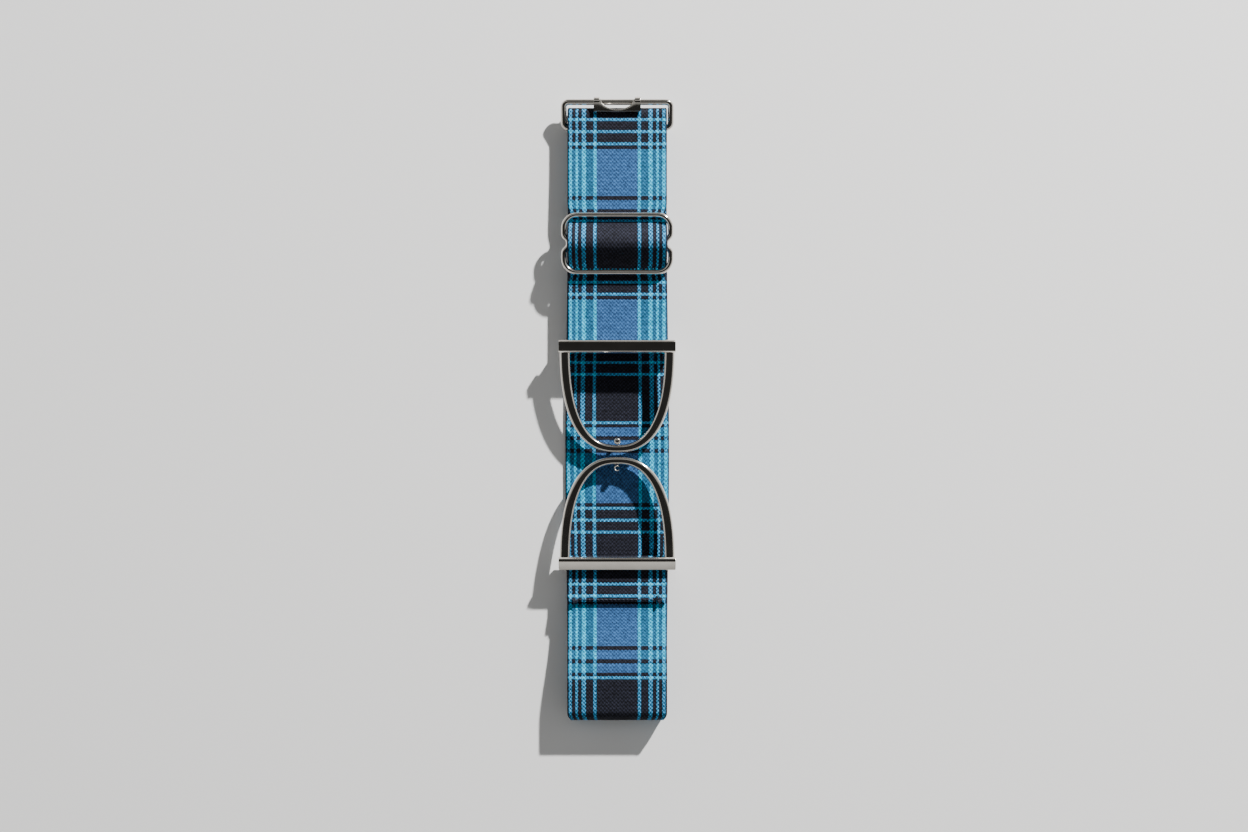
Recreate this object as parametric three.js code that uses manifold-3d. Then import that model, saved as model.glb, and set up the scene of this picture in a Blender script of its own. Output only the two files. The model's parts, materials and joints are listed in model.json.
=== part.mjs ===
// Folded elastic belt with a stirrup clasp: a plaid elastic webbing lying on its back ply,
// folded over at both ends, with a wire slide adjuster, a link with a pivoting hook plate
// in the top fold, and two stirrup-shaped clasp halves that meet in the middle.
// Millimetres. +X across the webbing, +Y along it towards the link, +Z up from the surface.
import * as THREE from 'three';
import { mergeVertices } from 'three/addons/utils/BufferGeometryUtils.js';
import Module from 'manifold-3d';

const wasm = await Module();
wasm.setup();

// Webbing
const HALF_WIDTH = 24.9;
const PLY = 1.5;
const GAP = 0.3;
const PITCH = PLY + GAP;
const BACK_Z = PLY / 2;
const RUN_LIFT = 3.4;
const TAIL_Z = BACK_Z + PITCH + RUN_LIFT;
const FRONT_Z = TAIL_Z + PITCH;

// Top fold, and the link whose hidden bar lies in it
const TOP_FOLD_R = 3.2;
const TOP_FOLD_Y = 147.25;
const TOP_FOLD_Z = BACK_Z + TOP_FOLD_R;
const LINK_BAR_Y = 141.2;
const LINK_TOP_Y = 153.6;
const LINK_TOP_Z = 7.0;
const LINK_HALF_X = 26.8;
const LINK_CORNER_R = 2.5;
const LINK_WIRE_R = 1.55;

// Bottom fold
const LOW_FOLD_R = 5.2;
const LOW_FOLD_Y = -150.05;
const LOW_FOLD_Z = BACK_Z + LOW_FOLD_R;
const FOLD_FLAT = 12;

// Hook plate
const PLATE_HALF_X = 11.75;
const PLATE_END_Y = 148.5;
const PLATE_T = 1.2;
const KNUCKLE_R = 2.6;
const KNUCKLE_W = 3.0;
const KNUCKLE_RISE = 0.1;
const CUTOUT_HALF_X = 8.5;
const CUTOUT_DEPTH = 5.3;
const CUTOUT_LIFT = 1.3;
const CUTOUT_TRIM = 0.25;
const RUNNING_GAP = 0.35;

// Slide adjuster
const ADJUSTER_Y = 82.4;
const ADJUSTER_RISE = 2.85;
const ADJUSTER_Z = FRONT_Z + ADJUSTER_RISE;
const ADJUSTER_HALF_Y = 14.3;
const ADJUSTER_HALF_X = 26.7;
const ADJUSTER_CORNER_R = 6.5;
const PINCH_HALF_X = 24.2;
const WAIST_Y = 5.2;
const WAIST_EASE = 2.4;
const PINCH_EASE = 2.8;
const WIRE_R = 1.3;
const TAIL_LOOP_HALF_WIDTH = 20;
const TAIL_TUCK = [{ back: 2.4, up: 1.9 }, { back: 4.6, up: 0.3 }];

// Stirrup clasp halves
const PIN_R = 1.5;
const PIN_Z = 5.3;
const PIN_LOOP_R = PIN_R + GAP + PLY / 2;
const UPPER_PIN_Y = 31.1;
const LOWER_PIN_Y = -77;
const TREAD_HALF_X = 29.1;
const TREAD_WIDTH = 6.4;
const TREAD_Z = 9.0;
const TREAD_T = 4.0;
const ARCH_HALF_X = 28.6;
const ARCH_DEPTH = 53.2;
const ARCH_BAND = 4.9;
const ARCH_CROWN_BAND = 3.7;
const ARCH_POWER = 2.5;
const ARCH_T = 3.4;
const ARCH_BEVEL = 0.5;
const FRAME_TILT = THREE.MathUtils.degToRad(5.5);
const FRAME_SHIFT = 0.6;
const LUG_T = 3.0;
const LUG_WIDTH = 5.0;
const PIN_HALF_X = 28.2;
const BEND_OFFSET = 11;
const SEAM_OFFSET = 20.65;
const SEAM_LEAD = 2;
const SEAM_Z = 7.05;
const LUG_OVERLAP = 1;
const CATCH_R = 1.7;
const STUD_NECK_R = 1.0;
const STUD_TOP_R = 1.2;
const STUD_HEIGHTS = { neck: 2.2, flare: 2.6, rim: 3.6, shoulder: 4.2, top: 4.4 };
const STUD_DROP = 0.6;
const HOOK_BORE_R = 0.9;
const HOOK_MOUTH = 0.7;
const HOOK_T = 2.4;
const HOOK_LIFT = 0.4;
const CATCH_OFFSET = ARCH_DEPTH - ARCH_CROWN_BAND - GAP - CATCH_R - FRAME_SHIFT;
const TREAD_EDGE = 0.9;
const UPPER_TREAD_BEVEL = { run: 0.8, drop: 0.8 };
const LOWER_TREAD_BEVEL = { run: 4.2, drop: 2.4 };

const webbing = new THREE.MeshStandardMaterial({ color: 0x3f7fb5, roughness: 0.85, metalness: 0 });
const nickel = new THREE.MeshStandardMaterial({ color: 0xc9c7c2, roughness: 0.12, metalness: 1 });

const belt = new THREE.Group();

function addPart(name, geometry, material) {
  const mesh = new THREE.Mesh(geometry, material);
  mesh.name = name;
  belt.add(mesh);
}

function toSolid(geometry) {
  geometry.deleteAttribute('normal');
  geometry.deleteAttribute('uv');
  const merged = mergeVertices(geometry, 1e-4);
  return new wasm.Manifold(new wasm.Mesh({
    numProp: 3,
    vertProperties: new Float32Array(merged.attributes.position.array),
    triVerts: new Uint32Array(merged.index.array),
  }));
}

function toGeometry(solid) {
  const { vertProperties, triVerts } = solid.getMesh();
  const geometry = new THREE.BufferGeometry();
  geometry.setAttribute('position', new THREE.BufferAttribute(vertProperties, 3));
  geometry.setIndex(new THREE.BufferAttribute(triVerts, 1));
  return geometry;
}

// Turns a profile drawn in (y, z) and extruded by width into a solid centred on x = 0.
function acrossX(shape, width) {
  const geometry = new THREE.ExtrudeGeometry(shape, { depth: width, bevelEnabled: false });
  const turned = new THREE.Matrix4().makeBasis(
    new THREE.Vector3(0, 1, 0), new THREE.Vector3(0, 0, 1), new THREE.Vector3(1, 0, 0));
  geometry.applyMatrix4(turned);
  geometry.translate(-width / 2, 0, 0);
  return geometry;
}

// Webbing ribbon of one ply's thickness along a (y, z) centreline.
function ribbon(centreline, halfWidth = HALF_WIDTH) {
  const left = [];
  const right = [];
  centreline.forEach((point, i) => {
    const before = centreline[Math.max(i - 1, 0)];
    const after = centreline[Math.min(i + 1, centreline.length - 1)];
    const normal = new THREE.Vector2(before.y - after.y, after.x - before.x).setLength(PLY / 2);
    left.push(point.clone().add(normal));
    right.unshift(point.clone().sub(normal));
  });
  return acrossX(new THREE.Shape([...left, ...right]), 2 * halfWidth);
}

function point(y, z) {
  return new THREE.Vector2(y, z);
}

function arc(y, z, radius, fromDegrees, toDegrees, steps = 14) {
  return Array.from({ length: steps + 1 }, (_, i) => {
    const angle = THREE.MathUtils.degToRad(fromDegrees + (toDegrees - fromDegrees) * i / steps);
    return point(y + radius * Math.cos(angle), z + radius * Math.sin(angle));
  });
}

// S-shaped run between two levels, flat at both ends.
function ease(fromY, fromZ, toY, toZ, steps = 10) {
  return Array.from({ length: steps + 1 }, (_, i) => {
    const t = i / steps;
    return point(fromY + (toY - fromY) * t, fromZ + (toZ - fromZ) * t * t * (3 - 2 * t));
  });
}

// Leaves out points that repeat where two stretches of a centreline meet.
function joined(...stretches) {
  return stretches.flat().filter((p, i, all) => i === 0 || p.distanceTo(all[i - 1]) > 1e-3);
}

// Round wire along a closed plane curve.
function closedWire(points, radius, segments, sides) {
  const path = new THREE.CatmullRomCurve3(points, true, 'centripetal');
  return toSolid(new THREE.TubeGeometry(path, segments, radius, sides, true));
}

function barAlongX(radius, length, y, z, sides = 20) {
  const geometry = new THREE.CylinderGeometry(radius, radius, length, sides);
  geometry.rotateZ(Math.PI / 2);
  geometry.translate(0, y, z);
  return toSolid(geometry);
}

function box(width, length, height, x, y, z) {
  const geometry = new THREE.BoxGeometry(width, length, height);
  geometry.translate(x, y, z);
  return toSolid(geometry);
}

// Webbing that lies on the surface, and its two folds
function addBackPlyAndFolds() {
  addPart('strap_back_ply', ribbon([
    point(LOW_FOLD_Y + GAP / 2, BACK_Z), point(LINK_BAR_Y - GAP / 2, BACK_Z)]), webbing);
  addPart('strap_top_fold', ribbon(joined(
    [point(LINK_BAR_Y + GAP / 2, BACK_Z)],
    arc(TOP_FOLD_Y, TOP_FOLD_Z, TOP_FOLD_R, -90, 90),
    [point(LINK_BAR_Y + GAP / 2, BACK_Z + 2 * TOP_FOLD_R)])), webbing);
  addPart('strap_bottom_fold', ribbon(
    arc(LOW_FOLD_Y - GAP / 2, LOW_FOLD_Z, LOW_FOLD_R, 270, 90)), webbing);
}

// Front run from the top fold to the upper clasp half, threaded through the adjuster
function addUpperRun() {
  const topZ = BACK_Z + 2 * TOP_FOLD_R;
  const waveEnd = ADJUSTER_HALF_Y - GAP / 2;
  const overBarZ = ADJUSTER_Z + WIRE_R + 2 * GAP + 1.5 * PLY;
  const bendY = UPPER_PIN_Y + BEND_OFFSET;
  const loopTopZ = PIN_Z + PIN_LOOP_R;
  const loopBottomZ = PIN_Z - PIN_LOOP_R;
  const underBarY = ADJUSTER_Y - ADJUSTER_HALF_Y;

  addPart('strap_upper_front', ribbon(
    ease(LINK_BAR_Y - GAP / 2, topZ, ADJUSTER_Y + ADJUSTER_HALF_Y + GAP / 2, FRONT_Z)), webbing);
  addPart('strap_adjuster_wave', ribbon(joined(
    ease(ADJUSTER_Y + waveEnd, FRONT_Z, ADJUSTER_Y, overBarZ, 12),
    ease(ADJUSTER_Y, overBarZ, ADJUSTER_Y - waveEnd, FRONT_Z, 12))), webbing);
  addPart('strap_tail_loop', ribbon(joined(
    ease(underBarY + GAP / 2, TAIL_Z, ADJUSTER_Y, ADJUSTER_Z - WIRE_R - GAP - PLY / 2, 8),
    arc(ADJUSTER_Y, ADJUSTER_Z, WIRE_R + GAP + PLY / 2, -90, 90, 12),
    TAIL_TUCK.map(({ back, up }) => point(ADJUSTER_Y - back, ADJUSTER_Z + up))),
  TAIL_LOOP_HALF_WIDTH), webbing);
  addPart('strap_upper_mid', ribbon(
    ease(underBarY - GAP / 2, FRONT_Z, bendY + GAP / 2, loopTopZ)), webbing);
  addPart('strap_upper_tail', ribbon(
    ease(underBarY - GAP / 2, TAIL_Z, bendY + GAP / 2, loopBottomZ, 4)), webbing);
  addPart('strap_upper_end_loop', ribbon(joined(
    [point(bendY - GAP / 2, loopTopZ)],
    arc(UPPER_PIN_Y, PIN_Z, PIN_LOOP_R, 90, 270),
    [point(bendY - GAP / 2, loopBottomZ)])), webbing);
}

// Run from the bottom fold under and round the lower clasp half's pin, its end sewn back on top
function addLowerRun() {
  const topZ = BACK_Z + 2 * LOW_FOLD_R;
  const bendY = LOWER_PIN_Y - BEND_OFFSET;
  const seamY = LOWER_PIN_Y - SEAM_OFFSET;
  const loopTopZ = PIN_Z + PIN_LOOP_R;
  const loopBottomZ = PIN_Z - PIN_LOOP_R;

  addPart('strap_lower_front', ribbon(joined(
    [point(LOW_FOLD_Y + GAP / 2, topZ)],
    ease(LOW_FOLD_Y + FOLD_FLAT, topZ, seamY - SEAM_LEAD, SEAM_Z, 14),
    ease(seamY - SEAM_LEAD, SEAM_Z, bendY - GAP / 2, loopBottomZ, 12))), webbing);
  addPart('strap_lower_tail', ribbon(
    ease(bendY - GAP / 2, loopTopZ, seamY, SEAM_Z + PITCH, 8)), webbing);
  addPart('strap_lower_end_loop', ribbon(joined(
    [point(bendY + GAP / 2, loopBottomZ)],
    arc(LOWER_PIN_Y, PIN_Z, PIN_LOOP_R, -90, 90),
    [point(bendY + GAP / 2, loopTopZ)])), webbing);
}

// Wire link: hidden bar in the top fold, outer bar beyond it
function addLink() {
  const rise = Math.atan2(LINK_TOP_Z - TOP_FOLD_Z, LINK_TOP_Y - LINK_BAR_Y);
  const halfLength = Math.hypot(LINK_TOP_Z - TOP_FOLD_Z, LINK_TOP_Y - LINK_BAR_Y) / 2;
  const outline = new THREE.Shape();
  const cornerX = LINK_HALF_X - LINK_CORNER_R;
  const cornerY = halfLength - LINK_CORNER_R;
  outline.absarc(cornerX, cornerY, LINK_CORNER_R, 0, Math.PI / 2, false);
  outline.absarc(-cornerX, cornerY, LINK_CORNER_R, Math.PI / 2, Math.PI, false);
  outline.absarc(-cornerX, -cornerY, LINK_CORNER_R, Math.PI, 1.5 * Math.PI, false);
  outline.absarc(cornerX, -cornerY, LINK_CORNER_R, 1.5 * Math.PI, 2 * Math.PI, false);
  outline.closePath();
  const points = outline.getSpacedPoints(80).slice(0, -1).map((p) => new THREE.Vector3(
    p.x,
    LINK_BAR_Y + (p.y + halfLength) * Math.cos(rise),
    TOP_FOLD_Z + (p.y + halfLength) * Math.sin(rise)));
  addPart('end_link', toGeometry(closedWire(points, LINK_WIRE_R, 90, 12)), nickel);
}

// Hook plate: two knuckles that turn on the link's outer bar, and a plate with a half-moon opening
function addHookPlate() {
  const plateTop = LINK_TOP_Z + KNUCKLE_R - KNUCKLE_RISE;
  const outline = new THREE.Shape();
  outline.moveTo(-PLATE_HALF_X, PLATE_END_Y);
  outline.lineTo(PLATE_HALF_X, PLATE_END_Y);
  outline.lineTo(PLATE_HALF_X, LINK_TOP_Y);
  outline.lineTo(CUTOUT_HALF_X, LINK_TOP_Y);
  outline.absellipse(0, LINK_TOP_Y + CUTOUT_LIFT, CUTOUT_HALF_X + CUTOUT_TRIM, CUTOUT_DEPTH,
    -CUTOUT_TRIM, -Math.PI + CUTOUT_TRIM, true);
  outline.lineTo(-CUTOUT_HALF_X, LINK_TOP_Y);
  outline.lineTo(-PLATE_HALF_X, LINK_TOP_Y);
  outline.closePath();
  const sheet = new THREE.ExtrudeGeometry(outline, { depth: PLATE_T, bevelEnabled: false });
  sheet.translate(0, 0, plateTop - PLATE_T);
  let plate = toSolid(sheet);
  for (const side of [-1, 1]) {
    const knuckle = barAlongX(KNUCKLE_R, KNUCKLE_W, LINK_TOP_Y, LINK_TOP_Z)
      .translate([side * (PLATE_HALF_X - KNUCKLE_W / 2), 0, 0]);
    plate = plate.add(knuckle);
  }
  const bore = barAlongX(LINK_WIRE_R + RUNNING_GAP, 3 * PLATE_HALF_X, LINK_TOP_Y, LINK_TOP_Z);
  addPart('hook_plate', toGeometry(plate.subtract(bore)), nickel);
}

// Two-lobed wire frame with a welded centre bar
function addSlideAdjuster() {
  const cornerX = ADJUSTER_HALF_X - ADJUSTER_CORNER_R;
  const cornerY = ADJUSTER_HALF_Y - ADJUSTER_CORNER_R;
  const outline = new THREE.Shape();
  outline.moveTo(0, ADJUSTER_HALF_Y);
  outline.lineTo(cornerX, ADJUSTER_HALF_Y);
  outline.absarc(cornerX, cornerY, ADJUSTER_CORNER_R, Math.PI / 2, 0, true);
  outline.lineTo(ADJUSTER_HALF_X, WAIST_Y);
  outline.bezierCurveTo(
    ADJUSTER_HALF_X, WAIST_EASE, PINCH_HALF_X, PINCH_EASE, PINCH_HALF_X, 0);
  outline.bezierCurveTo(
    PINCH_HALF_X, -PINCH_EASE, ADJUSTER_HALF_X, -WAIST_EASE, ADJUSTER_HALF_X, -WAIST_Y);
  outline.absarc(cornerX, -cornerY, ADJUSTER_CORNER_R, 0, -Math.PI / 2, true);
  outline.lineTo(-cornerX, -ADJUSTER_HALF_Y);
  outline.absarc(-cornerX, -cornerY, ADJUSTER_CORNER_R, -Math.PI / 2, -Math.PI, true);
  outline.lineTo(-ADJUSTER_HALF_X, -WAIST_Y);
  outline.bezierCurveTo(
    -ADJUSTER_HALF_X, -WAIST_EASE, -PINCH_HALF_X, -PINCH_EASE, -PINCH_HALF_X, 0);
  outline.bezierCurveTo(
    -PINCH_HALF_X, PINCH_EASE, -ADJUSTER_HALF_X, WAIST_EASE, -ADJUSTER_HALF_X, WAIST_Y);
  outline.absarc(-cornerX, cornerY, ADJUSTER_CORNER_R, Math.PI, Math.PI / 2, true);
  outline.closePath();
  const points = outline.getSpacedPoints(110).slice(0, -1).map((p) => new THREE.Vector3(
    p.x, ADJUSTER_Y + p.y, ADJUSTER_Z));
  const frame = closedWire(points, WIRE_R, 120, 10);
  const centreBar = barAlongX(WIRE_R, 2 * PINCH_HALF_X, ADJUSTER_Y, ADJUSTER_Z, 12);
  addPart('slide_adjuster', toGeometry(frame.add(centreBar)), nickel);
}

// Half of a superellipse, from -x round the crown at -y to +x
function archCurve(halfX, depth, steps = 44) {
  return Array.from({ length: steps + 1 }, (_, i) => {
    const angle = Math.PI * i / steps;
    const across = Math.abs(Math.cos(angle)) ** (2 / ARCH_POWER);
    const along = Math.sin(angle) ** (2 / ARCH_POWER);
    return point(-Math.sign(Math.cos(angle)) * halfX * across, -depth * along);
  });
}

// Arched band of a clasp half, drawn smaller all round by the bevel
function archBand(bevel) {
  const outer = archCurve(ARCH_HALF_X - bevel, ARCH_DEPTH - bevel);
  const inner = archCurve(
    ARCH_HALF_X - ARCH_BAND + bevel, ARCH_DEPTH - ARCH_CROWN_BAND + bevel);
  return new THREE.Shape([...outer, ...inner.reverse()]);
}

// Tread bar of a clasp half: its outward top edge, on the +y side, is cut back by the bevel.
function tread(bevel) {
  const halfY = TREAD_WIDTH / 2;
  const top = TREAD_Z + TREAD_T;
  return toSolid(acrossX(new THREE.Shape([
    point(-halfY, TREAD_Z), point(halfY, TREAD_Z), point(halfY, top - bevel.drop),
    point(halfY - bevel.run, top), point(-halfY + TREAD_EDGE, top),
    point(-halfY, top - TREAD_EDGE)]), 2 * TREAD_HALF_X));
}

// Tips something that belongs to a clasp half about its strap pin, so that the crown hangs low.
function tipAboutPin(geometry, pinY, direction) {
  geometry.translate(0, -pinY, -PIN_Z);
  geometry.rotateX(-direction * FRAME_TILT);
  geometry.translate(0, pinY, PIN_Z);
}

// One clasp half; direction is -1 when the arch points towards -y and +1 towards +y.
function addClaspHalf(prefix, pinY, direction, treadBevel) {
  const turned = (solid) => (direction < 0 ? solid : solid.rotate([0, 0, 180]))
    .translate([0, pinY, 0]);
  const bandGeometry = new THREE.ExtrudeGeometry(archBand(ARCH_BEVEL), {
    depth: ARCH_T - 2 * ARCH_BEVEL,
    bevelSize: ARCH_BEVEL,
    bevelThickness: ARCH_BEVEL,
    bevelSegments: 1,
  });
  bandGeometry.translate(0, 0, TREAD_Z + ARCH_BEVEL);
  let frame = toSolid(bandGeometry).add(tread(treadBevel)).translate([0, FRAME_SHIFT, 0]);
  for (const side of [-1, 1]) {
    const lugX = side * (HALF_WIDTH + GAP + LUG_T / 2);
    const lugBottom = PIN_Z - LUG_WIDTH / 2;
    const lugHeight = TREAD_Z + LUG_OVERLAP - lugBottom;
    frame = frame.add(box(LUG_T, LUG_WIDTH, lugHeight, lugX, 0, lugBottom + lugHeight / 2));
  }
  frame = frame.subtract(barAlongX(PIN_R + GAP, 2 * TREAD_HALF_X + 2, 0, PIN_Z));
  const frameGeometry = toGeometry(turned(frame));
  tipAboutPin(frameGeometry, pinY, direction);
  addPart(`${prefix}_stirrup_frame`, frameGeometry, nickel);

  const pin = barAlongX(PIN_R, 2 * PIN_HALF_X, 0, PIN_Z, 16);
  addPart(`${prefix}_strap_pin`, toGeometry(turned(pin)), nickel);
}

// Round-headed stud inside the upper arch's crown
function addCatchStud() {
  const profile = [
    point(0, 0), point(STUD_NECK_R, 0), point(STUD_NECK_R, STUD_HEIGHTS.neck),
    point(CATCH_R, STUD_HEIGHTS.flare), point(CATCH_R, STUD_HEIGHTS.rim),
    point(STUD_TOP_R, STUD_HEIGHTS.shoulder), point(0, STUD_HEIGHTS.top)];
  const stud = new THREE.LatheGeometry(profile, 20);
  stud.rotateX(Math.PI / 2);
  stud.translate(0, UPPER_PIN_Y - CATCH_OFFSET, TREAD_Z - STUD_DROP);
  tipAboutPin(stud, UPPER_PIN_Y, -1);
  addPart('catch_stud', stud, nickel);
}

// Open hook inside the lower arch's crown
function addCatchHook() {
  const hook = new THREE.Shape();
  hook.absarc(0, 0, CATCH_R, HOOK_MOUTH, 2 * Math.PI - HOOK_MOUTH, false);
  hook.absarc(0, 0, HOOK_BORE_R, 2 * Math.PI - HOOK_MOUTH, HOOK_MOUTH, true);
  hook.closePath();
  const geometry = new THREE.ExtrudeGeometry(hook, {
    depth: HOOK_T, curveSegments: 16, bevelEnabled: false });
  geometry.translate(0, LOWER_PIN_Y + CATCH_OFFSET, TREAD_Z + HOOK_LIFT);
  tipAboutPin(geometry, LOWER_PIN_Y, 1);
  addPart('catch_hook', geometry, nickel);
}

addBackPlyAndFolds();
addUpperRun();
addLowerRun();
addLink();
addHookPlate();
addSlideAdjuster();
addClaspHalf('upper', UPPER_PIN_Y, -1, UPPER_TREAD_BEVEL);
addClaspHalf('lower', LOWER_PIN_Y, 1, LOWER_TREAD_BEVEL);
addCatchStud();
addCatchHook();

export default belt;
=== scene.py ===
import json
import math
import random

import bmesh
import bpy
from mathutils import Matrix, Vector


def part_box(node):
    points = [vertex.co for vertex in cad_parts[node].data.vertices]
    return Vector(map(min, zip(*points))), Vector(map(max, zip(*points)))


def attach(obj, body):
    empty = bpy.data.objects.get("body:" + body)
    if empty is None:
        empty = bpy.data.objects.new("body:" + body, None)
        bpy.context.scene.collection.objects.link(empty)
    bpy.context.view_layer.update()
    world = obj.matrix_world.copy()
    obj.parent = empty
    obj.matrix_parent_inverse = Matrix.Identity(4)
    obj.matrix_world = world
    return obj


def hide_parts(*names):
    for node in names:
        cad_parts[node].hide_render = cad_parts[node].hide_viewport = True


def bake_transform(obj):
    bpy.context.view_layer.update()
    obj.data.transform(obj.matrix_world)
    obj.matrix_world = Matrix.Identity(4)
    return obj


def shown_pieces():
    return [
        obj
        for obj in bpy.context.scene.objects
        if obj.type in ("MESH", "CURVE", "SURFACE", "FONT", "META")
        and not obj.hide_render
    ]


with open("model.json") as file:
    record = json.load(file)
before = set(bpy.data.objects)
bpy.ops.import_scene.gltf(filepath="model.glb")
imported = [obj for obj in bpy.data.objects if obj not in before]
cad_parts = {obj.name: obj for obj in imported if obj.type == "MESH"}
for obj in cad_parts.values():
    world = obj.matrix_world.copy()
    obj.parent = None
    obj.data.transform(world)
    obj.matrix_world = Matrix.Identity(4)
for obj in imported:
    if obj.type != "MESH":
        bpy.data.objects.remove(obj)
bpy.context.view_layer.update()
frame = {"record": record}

MM = 0.001

# ---------------------------------------------------------------- camera

CAMERA_PLACE = (3.4 * MM, -3.6 * MM, 0.78)
SENSOR = 36.0                    # mm
LENS = 44.538462                 # mm


def add_camera():
    data = bpy.data.cameras.new("camera")
    data.sensor_width = SENSOR
    data.lens = LENS
    camera = bpy.data.objects.new("camera", data)
    camera.location = CAMERA_PLACE
    bpy.context.scene.collection.objects.link(camera)
    bpy.context.scene.camera = camera


add_camera()

# ---------------------------------------------------------------- frame positions

JOINT = {joint["name"]: joint for joint in frame["record"]["behaviour"]["joints"]}


def joint_at(name):
    return Vector(JOINT[name]["pos_m"])


def middle(node):
    low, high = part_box(node)
    return (low + high) / 2


back_low, back_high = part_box("strap_back_ply")
PLY = back_high.z - back_low.z
HALF_WIDTH = back_high.x
BACK_Z = PLY / 2
GAP = 0.3 * MM

top_fold_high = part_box("strap_top_fold")[1]
TOP_FOLD_R = (top_fold_high.z - PLY) / 2
TOP_FOLD_Y = top_fold_high.y - TOP_FOLD_R - PLY / 2
TOP_SPLIT_Y = joint_at("upper_fold_opening").y

low_fold_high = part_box("strap_bottom_fold")[1]
LOW_FOLD_R = (low_fold_high.z - PLY) / 2
LOW_FOLD_Y = joint_at("lower_fold_opening").y

adjuster_low, adjuster_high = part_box("slide_adjuster")
ADJUSTER = middle("slide_adjuster")
WIRE_R = (adjuster_high.z - adjuster_low.z) / 2
ADJUSTER_HALF_Y = adjuster_high.y - ADJUSTER.y - WIRE_R

LINK_WIRE_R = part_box("end_link")[1].z - joint_at("hook_plate_swing").z
UPPER_PIN = middle("upper_strap_pin")
LOWER_PIN = middle("lower_strap_pin")
PIN_R = (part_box("upper_strap_pin")[1].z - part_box("upper_strap_pin")[0].z) / 2
PIN_LOOP_R = PIN_R + GAP + PLY / 2
UPPER_BEND_Y = joint_at("upper_clasp_bend").y
LOWER_BEND_Y = joint_at("lower_clasp_bend").y

RUN_LIFT = 3.4 * MM
TAIL_Z = BACK_Z + PLY + GAP + RUN_LIFT
FRONT_Z = TAIL_Z + PLY + GAP
LOOP_TOP_Z = UPPER_PIN.z + PIN_LOOP_R
LOOP_LOW_Z = UPPER_PIN.z - PIN_LOOP_R
SEAM_Y = LOWER_PIN.y - 20.65 * MM
SEAM_LEAD = 2 * MM
SEAM_Z = 7.05 * MM
FOLD_FLAT = 12 * MM
CUT_END_TRIM = 1.5 * MM          # how far the sewn end stops short of the seam's place
TAIL_TUCK = [(2.4 * MM, 1.9 * MM), (4.6 * MM, 0.3 * MM)]    # back from the centre bar, and up

# Where the plaid falls: y in m where a sett begins, and sett positions in mm
UPPER_SETT_Y = 130.0 * MM
MID_SETT_Y = 54.6 * MM
LOWER_SETT_Y = -95.5 * MM
LOW_BLOCK_Y = -118.6 * MM
LOW_BLOCK_SETT = 23.1
UNDER_SEAM_SETT = 1.8
WAVE_SETT = 35.7
TAIL_SETT = 71.5
BACK_PLY_SETT = [(-75, -105), (-62, -92), (-47, -77), (-21, -53.4), (-7, -39), (17, -15), (34, 2)]
BACK_PLY_BULGE = (-22 * MM, -1.3 * MM, 75 * MM)             # wider between the clasp halves

# ---------------------------------------------------------------- node helpers


def srgb(red, green, blue):
    """Linear colour from 8-bit display values."""
    def channel(value):
        value /= 255
        return value / 12.92 if value <= 0.04045 else ((value + 0.055) / 1.055) ** 2.4
    return (channel(red), channel(green), channel(blue), 1.0)


class Nodes:
    """Small helper that adds shader nodes and links them."""

    def __init__(self, name):
        self.material = bpy.data.materials.new(name)
        self.material.use_nodes = True
        self.tree = self.material.node_tree
        self.shader = self.tree.nodes["Principled BSDF"]

    def add(self, kind, **settings):
        node = self.tree.nodes.new(kind)
        for key, value in settings.items():
            setattr(node, key, value)
        return node

    def plug(self, value, socket):
        if isinstance(value, bpy.types.NodeSocket):
            self.tree.links.new(value, socket)
        else:
            socket.default_value = value

    def math(self, operation, first, second=0.0, third=0.0):
        node = self.add("ShaderNodeMath", operation=operation)
        self.plug(first, node.inputs[0])
        self.plug(second, node.inputs[1])
        self.plug(third, node.inputs[2])
        return node.outputs[0]

    def mix(self, factor, first, second, blend="MIX"):
        node = self.add("ShaderNodeMix", data_type="RGBA", blend_type=blend)
        self.plug(factor, node.inputs[0])
        self.plug(first, node.inputs[6])
        self.plug(second, node.inputs[7])
        return node.outputs[2]

    def bands(self, position, edges, soft):
        """1 inside each (from, to) interval of position, 0 outside, with soft edges."""
        total = 0.0
        for start, end in edges:
            centre = (start + end) / 2
            half = (end - start) / 2
            away = self.math("ABSOLUTE", self.math("SUBTRACT", position, centre))
            inside = self.add("ShaderNodeMapRange", interpolation_type="SMOOTHSTEP")
            self.plug(away, inside.inputs[0])
            inside.inputs[1].default_value = half + soft
            inside.inputs[2].default_value = half - soft
            total = self.math("ADD", total, inside.outputs[0])
        return self.math("MINIMUM", total, 1.0)

    def noise(self, vector, scale, detail=2.0, rough=0.5):
        node = self.add("ShaderNodeTexNoise")
        self.plug(vector, node.inputs["Vector"])
        node.inputs["Scale"].default_value = scale
        node.inputs["Detail"].default_value = detail
        node.inputs["Roughness"].default_value = rough
        return node.outputs["Fac"]

    def bump(self, height, strength, distance, under=None):
        node = self.add("ShaderNodeBump")
        self.plug(height, node.inputs["Height"])
        node.inputs["Strength"].default_value = strength
        node.inputs["Distance"].default_value = distance
        if under is not None:
            self.plug(under, node.inputs["Normal"])
        return node.outputs[0]


# ---------------------------------------------------------------- materials

# The plaid's sett along the webbing, in mm: (colour, length) in order.
SETT = [("blue", 23), ("dark", 2.1), ("blue", 4.4), ("dark", 2.1), ("blue", 4.4), ("dark", 1.9),
        ("cyan", 1.3), ("dark", 23.05), ("cyan", 1.3), ("dark", 4.7), ("cyan", 1.3),
        ("dark", 4.7), ("cyan", 1.3), ("dark", 1.95)]
SETT_LENGTH = sum(length for _, length in SETT)
# Cyan warp stripes: distance from the middle and width, in mm
STRIPES = [(11.1, 1.55), (16.7, 2.0), (20.2, 1.15), (23.35, 1.5)]
SIDE_GROUND_FROM = 11.9
THREAD = 1.9                    # pitch of the weave, in mm


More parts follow.
